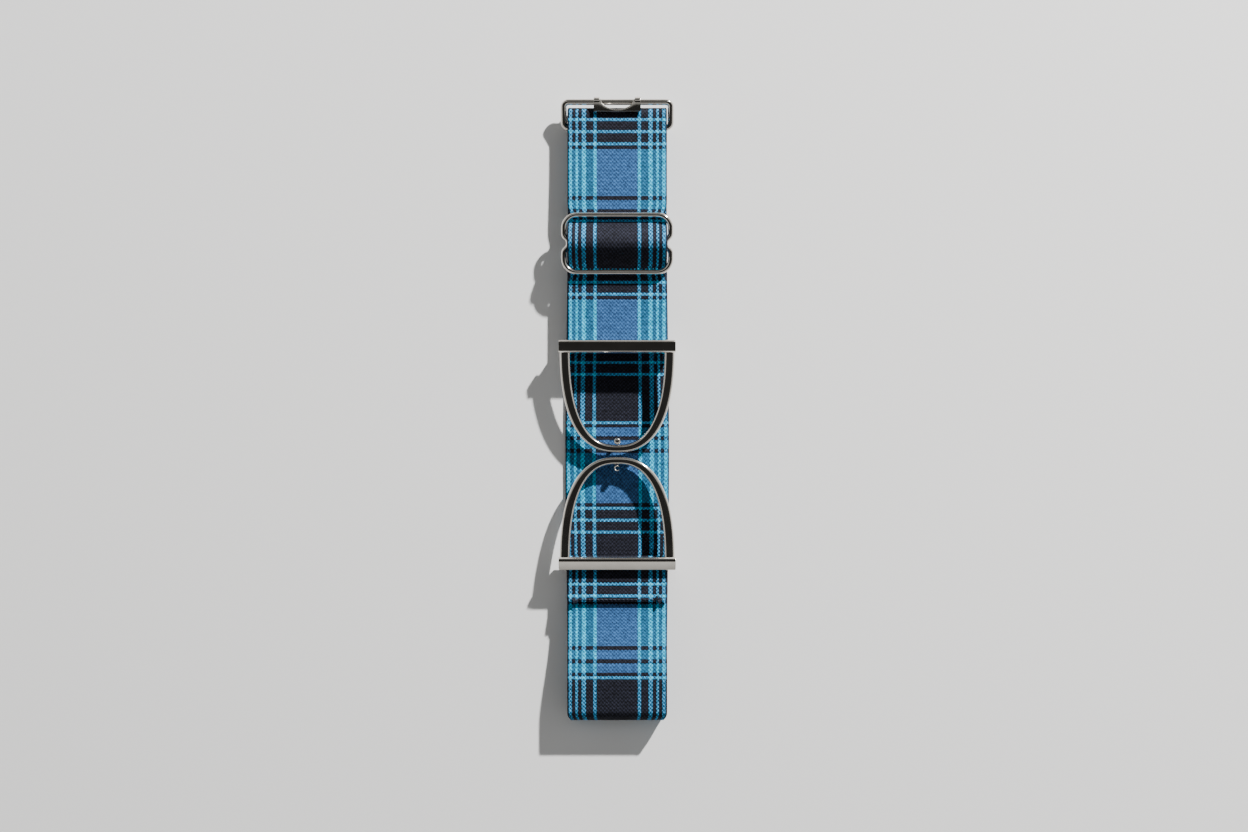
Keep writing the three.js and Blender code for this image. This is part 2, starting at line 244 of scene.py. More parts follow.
def sett_edges(colour):
    edges = []
    at = 0.0
    for name, length in SETT:
        if name == colour:
            edges.append((at, at + length))
        at += length
    return edges


def plaid_webbing():
    """Jacquard elastic: the UV map holds mm across the webbing, from its middle, and along it."""
    n = Nodes("plaid_webbing")
    uv = n.add("ShaderNodeUVMap", uv_map="weave")
    split = n.add("ShaderNodeSeparateXYZ")
    n.plug(uv.outputs[0], split.inputs[0])
    across, along = split.outputs[0], split.outputs[1]

    wander = n.noise(uv.outputs[0], 0.35, 2.0)
    wander = n.math("MULTIPLY", n.math("SUBTRACT", wander, 0.5), 0.35)
    pitch = 2 * math.pi / THREAD
    wobble = n.math("MULTIPLY", n.math("SUBTRACT", n.noise(uv.outputs[0], 0.8, 2.0), 0.5), 1.2)
    wave_x = n.math("SINE", n.math("MULTIPLY", n.math("ADD", across, wobble), pitch))
    wave_y = n.math("SINE", n.math("MULTIPLY", n.math("ADD", along, wobble), pitch))
    checker = n.math("MULTIPLY", wave_x, wave_y)
    fine = n.math("SINE", n.math("MULTIPLY", n.math("ADD", across, n.math("MULTIPLY", along, 0.5)),
                                 2 * pitch))
    weave = n.math("MULTIPLY_ADD", n.math("ADD", checker, n.math("MULTIPLY", fine, 0.3)), 0.38, 0.5)

    frayed = n.math("ADD", along, n.math("MULTIPLY", n.math("SUBTRACT", weave, 0.5), 0.35))
    shifted = n.math("ADD", n.math("ADD", frayed, wander), 100 * SETT_LENGTH)
    row = n.math("MODULO", shifted, SETT_LENGTH)
    blue_row = n.bands(row, sett_edges("blue"), 0.16)
    cyan_row = n.bands(row, sett_edges("cyan"), 0.16)
    side = n.math("ABSOLUTE", across)
    jagged = n.math("ADD", side, n.math("MULTIPLY", n.math("SUBTRACT", weave, 0.5), 0.3))
    stripe = n.bands(jagged, [(at - width / 2, at + width / 2) for at, width in STRIPES], 0.16)
    flank = n.bands(side, [(SIDE_GROUND_FROM, 30)], 0.3)

    blue = n.mix(flank, srgb(48, 87, 134), srgb(32, 94, 130))
    ground = n.mix(blue_row, n.mix(weave, srgb(13, 13, 18), srgb(32, 34, 46)), blue)
    ground = n.mix(cyan_row, ground, n.mix(weave, srgb(14, 74, 124), srgb(62, 158, 206)))
    speckled = n.mix(weave, srgb(0, 18, 58), srgb(64, 158, 208))
    on_blue = n.mix(weave, srgb(18, 142, 190), srgb(40, 188, 224))
    stripes = n.mix(blue_row, speckled, on_blue)
    stripes = n.mix(cyan_row, stripes, srgb(44, 190, 228))
    colour = n.mix(stripe, ground, stripes)

    # Brightness: painted shade in the weave's hollows and lighter thread tops (depth), times random
    # grain and patches
    depth = n.math("MULTIPLY_ADD", weave, 1.4, 0.3)
    grain = n.math("MULTIPLY_ADD", n.noise(uv.outputs[0], 0.42, 3.0, 0.8), 2.4, -0.2)
    patch = n.math("MULTIPLY_ADD", n.noise(uv.outputs[0], 0.09, 2.0), 0.18, 0.91)
    light = n.math("MULTIPLY", n.math("MULTIPLY", depth, grain), patch)
    grey = n.add("ShaderNodeCombineColor")
    for socket in grey.inputs[:3]:
        n.plug(light, socket)
    colour = n.mix(1.0, colour, grey.outputs[0], "MULTIPLY")
    selvedge = n.bands(side, [(24.45, 30)], 0.12)
    colour = n.mix(n.math("MULTIPLY", selvedge, 0.8), colour, srgb(16, 24, 40))
    n.plug(colour, n.shader.inputs["Base Color"])

    n.shader.inputs["Roughness"].default_value = 0.82
    n.shader.inputs["Specular IOR Level"].default_value = 0.14
    n.shader.inputs["Sheen Weight"].default_value = 0.03
    n.shader.inputs["Sheen Roughness"].default_value = 0.4
    ribs = n.math("MULTIPLY", wave_y, 0.25)
    height = n.math("ADD", weave, ribs)
    n.plug(n.bump(height, 0.55, 0.00022), n.shader.inputs["Normal"])
    return n.material


def polished_nickel():
    """Bright nickel plate with a slight haze, faint polishing lines and soft unevenness."""
    n = Nodes("polished_nickel")
    place = n.add("ShaderNodeTexCoord").outputs["Object"]
    stretch = n.add("ShaderNodeMapping")
    stretch.inputs["Scale"].default_value = (60, 1400, 1400)
    n.plug(place, stretch.inputs["Vector"])
    lines = n.noise(stretch.outputs[0], 1.0, 3.0, 0.6)
    haze = n.noise(place, 140, 4.0, 0.6)
    tint = n.mix(haze, srgb(206, 200, 192), srgb(234, 229, 221))
    n.plug(tint, n.shader.inputs["Base Color"])
    n.shader.inputs["Metallic"].default_value = 1.0
    rough = n.math("MULTIPLY_ADD", haze, 0.10, 0.035)
    n.plug(n.math("MULTIPLY_ADD", lines, 0.05, rough), n.shader.inputs["Roughness"])
    fine = n.bump(lines, 0.05, 0.00003)
    n.plug(n.bump(n.noise(place, 55, 2.0), 0.08, 0.0004, fine), n.shader.inputs["Normal"])
    return n.material


def sewing_thread():
    """Twisted navy polyester thread."""
    n = Nodes("sewing_thread")
    place = n.add("ShaderNodeTexCoord").outputs["Object"]
    twist = n.add("ShaderNodeTexWave", wave_type="BANDS", bands_direction="DIAGONAL")
    n.plug(place, twist.inputs["Vector"])
    twist.inputs["Scale"].default_value = 700
    twist.inputs["Distortion"].default_value = 1.0
    colour = n.mix(twist.outputs["Fac"], srgb(10, 14, 26), srgb(30, 38, 60))
    n.plug(colour, n.shader.inputs["Base Color"])
    n.shader.inputs["Roughness"].default_value = 0.6
    n.plug(n.bump(twist.outputs["Fac"], 0.6, 0.00008), n.shader.inputs["Normal"])
    return n.material


WEBBING = plaid_webbing()
NICKEL = polished_nickel()
THREAD_MATERIAL = sewing_thread()

# ---------------------------------------------------------------- mesh helpers


def new_object(name, bm, material, smooth=True):
    bmesh.ops.recalc_face_normals(bm, faces=bm.faces)
    mesh = bpy.data.meshes.new(name)
    bm.to_mesh(mesh)
    bm.free()
    mesh.materials.append(material)
    for face in mesh.polygons:
        face.use_smooth = smooth
    obj = bpy.data.objects.new(name, mesh)
    bpy.context.scene.collection.objects.link(obj)
    return obj


def circle(count):
    """(cos, sin) pairs evenly round a turn."""
    return [(math.cos(2 * math.pi * k / count), math.sin(2 * math.pi * k / count))
            for k in range(count)]


def grid_faces(bm, rings, closed_path):
    """Joins rings of vertices into a tube, with end caps unless the path is closed."""
    count = len(rings[0])
    pairs = list(zip(rings, rings[1:]))
    if closed_path:
        pairs.append((rings[-1], rings[0]))
    for near, far in pairs:
        for i in range(count):
            j = (i + 1) % count
            bm.faces.new((near[i], near[j], far[j], far[i]))
    if not closed_path:
        for cap in (bm.faces.new(rings[0]), bm.faces.new(list(reversed(rings[-1])))):
            for edge in cap.edges:
                edge.smooth = False


# ---------------------------------------------------------------- webbing

STEP = 0.7 * MM


def arc(y, z, radius, from_degrees, to_degrees):
    count = max(6, int(abs(math.radians(to_degrees - from_degrees)) * radius / (0.5 * MM)))
    points = []
    for i in range(count + 1):
        angle = math.radians(from_degrees + (to_degrees - from_degrees) * i / count)
        points.append(Vector((0, y + radius * math.cos(angle), z + radius * math.sin(angle))))
    return points


def line(y0, z0, y1, z1):
    count = max(2, int(math.hypot(y1 - y0, z1 - z0) / STEP))
    return [Vector((0, y0 + (y1 - y0) * i / count, z0 + (z1 - z0) * i / count))
            for i in range(count + 1)]


def ease(y0, z0, y1, z1):
    count = max(4, int(math.hypot(y1 - y0, z1 - z0) / STEP))
    points = []
    for i in range(count + 1):
        t = i / count
        points.append(Vector((0, y0 + (y1 - y0) * t, z0 + (z1 - z0) * t * t * (3 - 2 * t))))
    return points


def joined(*stretches):
    points = []
    for stretch in stretches:
        for p in stretch:
            if not points or (p - points[-1]).length > 0.02 * MM:
                points.append(p)
    return points


def webbing_section(half_width):
    """Rounded flat section as (x, height) pairs, with rolled selvedges a little thicker."""
    columns = 56
    half = PLY / 2
    round_at = half_width - half * 0.9
    upper = []
    for i in range(columns + 1):
        x = -round_at + 2 * round_at * i / columns
        edge = max(0.0, (abs(x) - (half_width - 2.2 * MM)) / (2.2 * MM))
        upper.append((x, half * (0.94 + 0.06 * math.sin(math.pi * min(edge, 1.0)))))
    turn = 6
    turns = [math.pi * k / turn for k in range(1, turn)]
    right = [(round_at + half * 0.9 * math.sin(a), half * 0.94 * math.cos(a)) for a in turns]
    lower = [(x, -h) for x, h in reversed(upper)]
    left = [(-x, -h) for x, h in right]
    return upper + right + lower + left


def webbing_piece(name, path, anchors, half_width=HALF_WIDTH, squeezes=(), lead=None, trail=None):
    """Ribbon along a path in the YZ plane. anchors are (path length share, sett position in mm);
    squeezes are (y, depth, reach) where its edges are drawn in, as at a fold or under a wire, or
    let out where depth is negative; the plaid narrows and widens with them;
    lead and trail are points of the neighbouring pieces' paths, for a join without a step."""
    section = webbing_section(half_width)
    lengths = [0.0]
    for a, b in zip(path, path[1:]):
        lengths.append(lengths[-1] + (b - a).length)
    total = lengths[-1]
    bm = bmesh.new()
    rings = []
    widths = []
    for i, p in enumerate(path):
        before = path[i - 1] if i else lead or p
        after = path[i + 1] if i + 1 < len(path) else trail or p
        tangent = (after - before).normalized()
        normal = Vector((0, -tangent.z, tangent.y))
        drawn = 1 - sum(depth * math.exp(-((p.y - y) / reach) ** 2)
                        for y, depth, reach in squeezes) / half_width
        rings.append([bm.verts.new((x * drawn, p.y + normal.y * h, p.z + normal.z * h))
                      for x, h in section])
        widths.append(drawn)
    grid_faces(bm, rings, False)
    layer = bm.loops.layers.uv.new("weave")
    position = {}
    for ring, length, drawn in zip(rings, lengths, widths):
        share = length / total
        for (s0, v0), (s1, v1) in zip(anchors, anchors[1:]):
            if share <= s1 or (s1, v1) == anchors[-1]:
                v = v0 + (v1 - v0) * (share - s0) / (s1 - s0)
                break
        for vert in ring:
            position[vert] = (vert.co.x / drawn / MM, v)
    for face in bm.faces:
        for loop in face.loops:
            loop[layer].uv = position[loop.vert]
    return new_object(name, bm, WEBBING)


def path_length(path):
    return sum((b - a).length for a, b in zip(path, path[1:]))


def share_of(path, index):
    return path_length(path[:index + 1]) / path_length(path)


def straight_anchors(path, start):
    return [(0.0, start), (1.0, start + path_length(path) / MM)]


def declare(piece, nodes, body=None, blend=None):
    if body:
        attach(piece, body)
    if blend:
        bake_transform(piece)
    if nodes:
        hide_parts(*nodes)


def webbing():
    top_z = BACK_Z + 2 * TOP_FOLD_R
    low_z = BACK_Z + 2 * LOW_FOLD_R
    slide_blend_y = 138 * MM
    mid_split_y = 48 * MM
    adj_top = ADJUSTER.y + ADJUSTER_HALF_Y
    adj_low = ADJUSTER.y - ADJUSTER_HALF_Y
    over_bar_z = ADJUSTER.z + WIRE_R + 2 * GAP + 1.5 * PLY
    bar_squeezes = [(adj_top, 1.0 * MM, 3.2 * MM), (adj_low, 1.0 * MM, 3.2 * MM)]

    # Bottom fold and the run down to the seam
    under_seam_y = SEAM_Y - SEAM_LEAD
    fold = joined(arc(LOW_FOLD_Y, BACK_Z + LOW_FOLD_R, LOW_FOLD_R, 270, 90),
                  line(LOW_FOLD_Y, low_z, LOW_FOLD_Y + FOLD_FLAT, low_z),
                  ease(LOW_FOLD_Y + FOLD_FLAT, low_z, under_seam_y, SEAM_Z))
    fold_end = (LOWER_SETT_Y - LOW_FOLD_Y) / MM
    fold_start = fold_end + math.pi * LOW_FOLD_R / MM
    arc_share = math.pi * LOW_FOLD_R / path_length(fold)

    def front_share(y):
        above = BACK_Z + LOW_FOLD_R
        return share_of(fold, next(i for i, p in enumerate(fold) if p.z > above and p.y >= y))

    piece = webbing_piece("webbing_bottom_fold", fold, [
        (0.0, fold_start), (arc_share, fold_end), (front_share(LOW_BLOCK_Y), LOW_BLOCK_SETT),
        (1.0, UNDER_SEAM_SETT)],
        squeezes=[(LOW_FOLD_Y - LOW_FOLD_R, 1.3 * MM, 1.7 * MM)])
    declare(piece, ["strap_bottom_fold", "strap_lower_front"],
            blend=("back_ply", "lower_run", (0, LOW_FOLD_Y, 1.0 * MM),
                   (0, LOW_FOLD_Y + 4 * MM, 9.5 * MM)))

    # Back ply; its hidden stretches take up the difference between setts
    back = line(LOW_FOLD_Y, BACK_Z, TOP_SPLIT_Y, BACK_Z)
    back_total = (TOP_SPLIT_Y - LOW_FOLD_Y) / MM
    shift = 3 * SETT_LENGTH
    fold_path = (TOP_FOLD_Y - TOP_SPLIT_Y) * 2 + math.pi * TOP_FOLD_R
    back_end = (UPPER_SETT_Y - TOP_SPLIT_Y - fold_path) / MM + 5 * SETT_LENGTH
    anchors = [(0.0, fold_start)]
    anchors += [((y - LOW_FOLD_Y / MM) / back_total, at + shift) for y, at in BACK_PLY_SETT]
    anchors.append((1.0, back_end))
    piece = webbing_piece("webbing_back_ply", back, anchors, squeezes=[BACK_PLY_BULGE])
    declare(piece, ["strap_back_ply"], body="back_ply")

    # Top fold
    fold = joined(line(TOP_SPLIT_Y, BACK_Z, TOP_FOLD_Y, BACK_Z),
                  arc(TOP_FOLD_Y, BACK_Z + TOP_FOLD_R, TOP_FOLD_R, -90, 90),
                  line(TOP_FOLD_Y, top_z, TOP_SPLIT_Y, top_z),
                  line(TOP_SPLIT_Y, top_z, slide_blend_y, top_z))
    end_sett = (UPPER_SETT_Y - slide_blend_y) / MM
    piece = webbing_piece("webbing_top_fold", fold, [
        (0.0, end_sett - path_length(fold) / MM), (1.0, end_sett)])
    declare(piece, ["strap_top_fold"],
            blend=("back_ply", "upper_run", (0, TOP_FOLD_Y, 1.0 * MM),
                   (0, TOP_FOLD_Y - 2 * MM, 6.4 * MM)))

    # Front run down to the adjuster
    front = ease(slide_blend_y, top_z, adj_top, FRONT_Z)
    piece = webbing_piece("webbing_upper_front", front, [
        (0.0, end_sett), (1.0, (UPPER_SETT_Y - adj_top) / MM - 0.8)], squeezes=bar_squeezes)
    declare(piece, ["strap_upper_front"],
            blend=("upper_run", "adjuster", (0, slide_blend_y, 0), (0, adj_top + 2 * MM, 0)))

    # Wave over the adjuster's centre bar
    wave = joined(ease(adj_top, FRONT_Z, ADJUSTER.y, over_bar_z),
                  ease(ADJUSTER.y, over_bar_z, adj_low, FRONT_Z))
    mid_start = SETT_LENGTH + (MID_SETT_Y - adj_low) / MM
    piece = webbing_piece("webbing_adjuster_wave", wave, [(0.0, WAVE_SETT), (1.0, mid_start)],
                          squeezes=bar_squeezes)
    declare(piece, ["strap_adjuster_wave"], body="adjuster")

    # Tail sewn round the centre bar
    bar_loop_r = WIRE_R + GAP + PLY / 2
    tuck = [(ADJUSTER.y - back, ADJUSTER.z + up) for back, up in TAIL_TUCK]
    tail_loop = joined(
        ease(adj_low, TAIL_Z, ADJUSTER.y, ADJUSTER.z - bar_loop_r),
        arc(ADJUSTER.y, ADJUSTER.z, bar_loop_r, -90, 90),
        line(ADJUSTER.y, ADJUSTER.z + bar_loop_r, *tuck[0]),
        line(*tuck[0], *tuck[1]))
    piece = webbing_piece("webbing_tail_loop", tail_loop, straight_anchors(tail_loop, 12.0),
                          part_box("strap_tail_loop")[1].x)
    declare(piece, ["strap_tail_loop"], body="adjuster")

    # Front and tail below the adjuster
    whole_mid = ease(adj_low, FRONT_Z, UPPER_BEND_Y, LOOP_TOP_Z)
    whole_tail = ease(adj_low, TAIL_Z, UPPER_BEND_Y, LOOP_LOW_Z)
    mid = [p for p in whole_mid if p.y >= mid_split_y]
    tail = [p for p in whole_tail if p.y >= mid_split_y]
    piece = webbing_piece("webbing_upper_mid", mid, straight_anchors(mid, mid_start),
                          squeezes=bar_squeezes, trail=whole_mid[len(mid)])
    blend = ("adjuster", "upper_run", (0, adj_low - 1 * MM, 0), (0, mid[-1].y, 0))
    declare(piece, ["strap_upper_mid"], blend=blend)
    tail_piece = webbing_piece("webbing_upper_tail", tail, straight_anchors(tail, 40.0),
                               trail=whole_tail[len(tail)])
    declare(tail_piece, ["strap_upper_tail"], blend=blend)

    # Loop round the upper clasp's pin
    loop = joined(whole_mid[len(mid) - 1:], line(UPPER_BEND_Y, LOOP_TOP_Z, UPPER_PIN.y, LOOP_TOP_Z),
                  arc(UPPER_PIN.y, UPPER_PIN.z, PIN_LOOP_R, 90, 270),
                  line(UPPER_PIN.y, LOOP_LOW_Z, UPPER_BEND_Y, LOOP_LOW_Z),
                  list(reversed(whole_tail[len(tail) - 1:])))
    loop_start = mid_start + path_length(mid) / MM
    piece = webbing_piece("webbing_upper_loop", loop, straight_anchors(loop, loop_start),
                          lead=mid[-2], trail=tail[-2])
    declare(piece, ["strap_upper_end_loop"],
            blend=("upper_run", "upper_clasp", (0, UPPER_BEND_Y + 1 * MM, 0),
                   (0, UPPER_BEND_Y - 8 * MM, 0)))

    # Under and round the lower clasp's pin, and back on top to the seam
    tail_z = SEAM_Z + PLY + GAP
    loop = joined(ease(under_seam_y, SEAM_Z, LOWER_BEND_Y, LOOP_LOW_Z),
                  line(LOWER_BEND_Y, LOOP_LOW_Z, LOWER_PIN.y, LOOP_LOW_Z),
                  arc(LOWER_PIN.y, LOWER_PIN.z, PIN_LOOP_R, -90, 90),
                  line(LOWER_PIN.y, LOOP_TOP_Z, LOWER_BEND_Y, LOOP_TOP_Z),
                  ease(LOWER_BEND_Y, LOOP_TOP_Z, SEAM_Y + CUT_END_TRIM, tail_z))
    length = path_length(loop)
    tail_length = LOWER_PIN.y - SEAM_Y - CUT_END_TRIM
    piece = webbing_piece("webbing_lower_loop", loop, [
        (0.0, UNDER_SEAM_SETT + SETT_LENGTH),
        (2.2 * MM / length, UNDER_SEAM_SETT + SETT_LENGTH - 2.2),
        (1 - tail_length / length, TAIL_SETT - tail_length / MM),
        (1.0, TAIL_SETT)])
    declare(piece, ["strap_lower_end_loop", "strap_lower_tail"],
            blend=("lower_run", "lower_clasp", (0, LOWER_BEND_Y - 1 * MM, 0),
                   (0, LOWER_BEND_Y + 8 * MM, 0)))
    return tail_z


def seam(tail_z):
    """Row of stitches through the sewn-down end, with a bar tack and loose threads at each side."""
    rng = random.Random(7)
    row_y = SEAM_Y + 2.5 * MM
    radius = 0.24 * MM
    sides = 8
    bm = bmesh.new()

    def stitch(start, end, sag):
        rings = []
        steps = 7
        direction = (end - start).normalized()
        side = direction.cross(Vector((0, 0, 1))).normalized()
        for k in range(steps + 1):
            t = k / steps
            lift = sag * math.sin(math.pi * t)
            centre = start.lerp(end, t) + Vector((0, 0, lift))
            size = radius * (0.55 + 0.45 * math.sin(math.pi * min(max(t, 0.12), 0.88)))
            rings.append([bm.verts.new(centre + side * size * c + Vector((0, 0, size * s)))
                          for c, s in circle(sides)])
        grid_faces(bm, rings, False)

    top = tail_z + PLY / 2
    pitch = 2.1 * MM
    count = int(2 * (HALF_WIDTH - 1.2 * MM) / pitch)
    for i in range(count):
        x = -HALF_WIDTH + 1.6 * MM + i * pitch
        y = row_y + rng.uniform(-0.12, 0.12) * MM
        stitch(Vector((x, y, top - 0.05 * MM)), Vector((x + pitch * 0.82, y, top - 0.05 * MM)),
               0.16 * MM)
    for sign in (-1, 1):
        for k in range(7):
            x = sign * (HALF_WIDTH - 4.2 * MM) + rng.uniform(-1.5, 1.5) * MM
            y = row_y + rng.uniform(-0.2, 2.4) * MM
            tilt = rng.uniform(-0.9, 0.9) * MM
            stitch(Vector((x, y, top + 0.1 * MM)),
                   Vector((x + tilt, y - 2.3 * MM, top + 0.1 * MM)), 0.25 * MM)
    piece = new_object("seam_stitches", bm, THREAD_MATERIAL)
    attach(piece, "lower_run")


seam(webbing())

# ---------------------------------------------------------------- hardware


def declare_metal(piece, body, node):
    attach(piece, body)
    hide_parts(node)


def round_wire(name, points, radius, body, node, extra=()):
    """Closed round wire through points, plus straight bars given as (start, end)."""
    sides = 24
    bm = bmesh.new()
    rings = []
    count = len(points)
    plane = (points[count // 4] - points[0]).cross(points[count // 2] - points[0]).normalized()
    for i, p in enumerate(points):
        tangent = (points[(i + 1) % count] - points[i - 1]).normalized()
        outward = tangent.cross(plane).normalized()
        rings.append([bm.verts.new(p + outward * radius * c + plane * radius * s)
                      for c, s in circle(sides)])
    grid_faces(bm, rings, True)
    for start, end in extra:
        rings = []
        for p in (start, end):
            rings.append([bm.verts.new(p + Vector((0, radius * c, radius * s)))
                          for c, s in circle(sides)])
        grid_faces(bm, rings, False)
    declare_metal(new_object(name, bm, NICKEL), body, node)


def outline_arc(cx, cy, radius, from_degrees, to_degrees, steps=14):
    angles = [math.radians(from_degrees + (to_degrees - from_degrees) * i / steps)
              for i in range(steps + 1)]
    return [(cx + radius * math.cos(a), cy + radius * math.sin(a)) for a in angles]


def spread(points, spacing):
    """Fills long straight stretches of a closed outline and drops repeats."""
    filled = []
    for a, b in zip(points, points[1:] + points[:1]):
        distance = math.dist(a, b)
        count = max(1, int(distance / spacing))
        for k in range(count):
            t = k / count
            q = (a[0] + (b[0] - a[0]) * t, a[1] + (b[1] - a[1]) * t)
            if not filled or math.dist(q, filled[-1]) > 0.05 * MM:
                filled.append(q)
    return filled


def end_link():
    half_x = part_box("end_link")[1].x - LINK_WIRE_R
    corner = 2.5 * MM
    start = Vector((0, joint_at("link_swing").y, BACK_Z + TOP_FOLD_R))
    end = joint_at("hook_plate_swing")
    along = (end - start).normalized()
    length = (end - start).length
    outline = (outline_arc(half_x - corner, length - corner, corner, 0, 90)
               + outline_arc(corner - half_x, length - corner, corner, 90, 180)
               + outline_arc(corner - half_x, corner, corner, 180, 270)
               + outline_arc(half_x - corner, corner, corner, 270, 360))
    points = [start + Vector((x, 0, 0)) + along * d for x, d in spread(outline, 1.5 * MM)]
    round_wire("link_wire", points, LINK_WIRE_R, "link", "end_link")


def cubic(a, b, c, d, steps=12):
    points = []
    for i in range(steps + 1):
        t = i / steps
        s = 1 - t
        points.append(tuple(
            s ** 3 * a[k] + 3 * s * s * t * b[k] + 3 * s * t * t * c[k] + t ** 3 * d[k]
            for k in range(2)))
    return points


def slide_adjuster():
    half_x = adjuster_high.x - WIRE_R
    half_y = ADJUSTER_HALF_Y
    corner = 6.5 * MM
    waist = 5.2 * MM
    pinch = 24.2 * MM
    quarter = (outline_arc(half_x - corner, half_y - corner, corner, 90, 0)
               + cubic((half_x, waist), (half_x, 2.4 * MM), (pinch, 2.8 * MM), (pinch, 0)))
    right = quarter + [(x, -y) for x, y in reversed(quarter)]
    outline = right + [(-x, y) for x, y in reversed(right)]
    points = [Vector((x, ADJUSTER.y + y, ADJUSTER.z)) for x, y in spread(outline, 1.5 * MM)]
    bar = (Vector((-pinch, ADJUSTER.y, ADJUSTER.z)), Vector((pinch, ADJUSTER.y, ADJUSTER.z)))
    round_wire("adjuster_wire", points, WIRE_R, "adjuster", "slide_adjuster", [bar])


def rounded_profile(corners, radius, steps=4):
    """Polygon with each corner rounded; corners are (u, v) or (u, v, radius)."""
    points = []
    count = len(corners)
    for i in range(count):
        corner = Vector(corners[i][:2])
        size = corners[i][2] if len(corners[i]) > 2 else radius
        before = Vector(corners[i - 1][:2]) - corner
        after = Vector(corners[(i + 1) % count][:2]) - corner
        size = min(size, before.length * 0.45, after.length * 0.45)
        start = corner + before.normalized() * size
        end = corner + after.normalized() * size
        for k in range(steps + 1):
            t = k / steps
            points.append(tuple(start * (1 - t) ** 2 + corner * 2 * t * (1 - t) + end * t * t))
    return points


def prism_x(bm, profile, x0, x1, inset):
    """Bar across x with softened ends; profile points are (y, z)."""
    centre_y = sum(p[0] for p in profile) / len(profile)
    centre_z = sum(p[1] for p in profile) / len(profile)
    rings = []
    stations = [(x0, 1 - inset), (x0 + 0.12 * MM, 1 - inset * 0.45), (x0 + 0.4 * MM, 1.0)]
    stations += [(x0 + (x1 - x0) * k / 8, 1.0) for k in range(1, 8)]
    stations += [(x1 - 0.4 * MM, 1.0), (x1 - 0.12 * MM, 1 - inset * 0.45), (x1, 1 - inset)]
    for x, scale in stations:
        rings.append([
            bm.verts.new((x, centre_y + (y - centre_y) * scale, centre_z + (z - centre_z) * scale))
            for y, z in profile])
    grid_faces(bm, rings, False)


# Stirrup frames, measured before they are tipped about their strap pins
TILT = math.radians(5.5)
FRAME_SHIFT = 0.6 * MM
FRAME_LIFT = 3.7 * MM
TREAD_T = 4.0 * MM
TREAD_WIDTH = 6.4 * MM
CATCH_OFFSET = 46.9 * MM
ARCH_POWER = 2.5
ARCH_DEPTH = 53.2 * MM
ARCH_BAND = 4.9 * MM
ARCH_CROWN_BAND = 3.7 * MM
ARCH_T = 3.4 * MM
ARCH_DOME = 0.95 * MM


def arch_section(band):
    """Band with a flat back and a gently domed face that rolls over at both edges."""
    face = []
    for k in range(25):
        side = math.cos(math.pi * k / 24)
        face.append((band / 2 * (1 + side), ARCH_T - ARCH_DOME * side ** 4))
    return [(0.2 * MM, 0), (band - 0.2 * MM, 0), (band, 0.2 * MM)] + face + [(0, 0.2 * MM)]


def tip_about(bm, pin, direction):
    """Tips what belongs to a clasp half about its strap pin, so that the crown hangs low."""
    turn = Matrix.Rotation(-direction * TILT, 3, "X")
    bmesh.ops.rotate(bm, cent=pin, matrix=turn, verts=bm.verts)


def clasp_half(name, node, pin, direction, bevel, body):
    """Stirrup frame; direction is -1 when its arch points towards -y."""
    tread_half_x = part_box(node)[1].x
    tread_low_z = pin.z + FRAME_LIFT
    tread_high_z = tread_low_z + TREAD_T
    tread_y = pin.y - direction * FRAME_SHIFT
    half_x = tread_half_x - 0.5 * MM
    bm = bmesh.new()

    def placed(x, along, z):
        return Vector((x, tread_y + direction * along, z))

    # Arch: the section turns along a superellipse from one end of the tread to the other
    steps = 120
    rings = []
    for i in range(steps + 1):
        angle = math.pi * i / steps
        across = -math.copysign(abs(math.cos(angle)) ** (2 / ARCH_POWER), math.cos(angle))
        along = math.sin(angle) ** (2 / ARCH_POWER)
        outer = Vector((half_x * across, ARCH_DEPTH * along))
        inner = Vector(((half_x - ARCH_BAND) * across, (ARCH_DEPTH - ARCH_CROWN_BAND) * along))
        band = (outer - inner).length
        section = arch_section(band)
        ring = []
        for u, v in section:
            q = inner.lerp(outer, u / band)
            ring.append(bm.verts.new(placed(q.x, q.y, tread_low_z + v)))
        rings.append(ring)
    grid_faces(bm, rings, False)

    # Tread bar, its outward edge cut back by the bevel
    half_y = TREAD_WIDTH / 2
    run, drop = bevel
    profile = rounded_profile([
        (-half_y, tread_low_z), (half_y, tread_low_z), (half_y, tread_high_z - drop),
        (half_y - run, tread_high_z), (-half_y + 0.9 * MM, tread_high_z),
        (-half_y, tread_high_z - 0.9 * MM)], 0.28 * MM, 4)
    profile = [(tread_y - direction * y, z) for y, z in profile]
    prism_x(bm, profile, -tread_half_x, tread_half_x, 0.06)

    # Lugs that hold the strap pin
    for side in (-1, 1):
        centre_x = side * (HALF_WIDTH + GAP + 1.5 * MM)
        lug = rounded_profile([
            (pin.y - 2.5 * MM, pin.z - 2.5 * MM, 2.2 * MM),
            (pin.y + 2.5 * MM, pin.z - 2.5 * MM, 2.2 * MM),
            (pin.y + 2.5 * MM, tread_low_z + 1 * MM), (pin.y - 2.5 * MM, tread_low_z + 1 * MM)],
            0.3 * MM, 6)
        prism_x(bm, lug, centre_x - 1.5 * MM, centre_x + 1.5 * MM, 0.06)
    tip_about(bm, pin, direction)
    declare_metal(new_object(name, bm, NICKEL), body, node)


def turned_pin(name, node, centre, body):
    """Strap pin with domed, peened ends."""
    low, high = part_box(node)
    sides = 28
    bm = bmesh.new()
    half = (high.x - low.x) / 2
    stations = [(-half, 0.55), (-half + 0.25 * MM, 0.85), (-half + 0.7 * MM, 1.0)]
    stations += [(-half + 0.7 * MM + (2 * half - 1.4 * MM) * k / 10, 1.0) for k in range(1, 10)]
    stations += [(half - 0.7 * MM, 1.0), (half - 0.25 * MM, 0.85), (half, 0.55)]
    rings = []
    for x, scale in stations:
        rings.append([bm.verts.new((x, centre.y + PIN_R * scale * c, centre.z + PIN_R * scale * s))
                      for c, s in circle(sides)])
    grid_faces(bm, rings, False)
    declare_metal(new_object(name, bm, NICKEL), body, node)


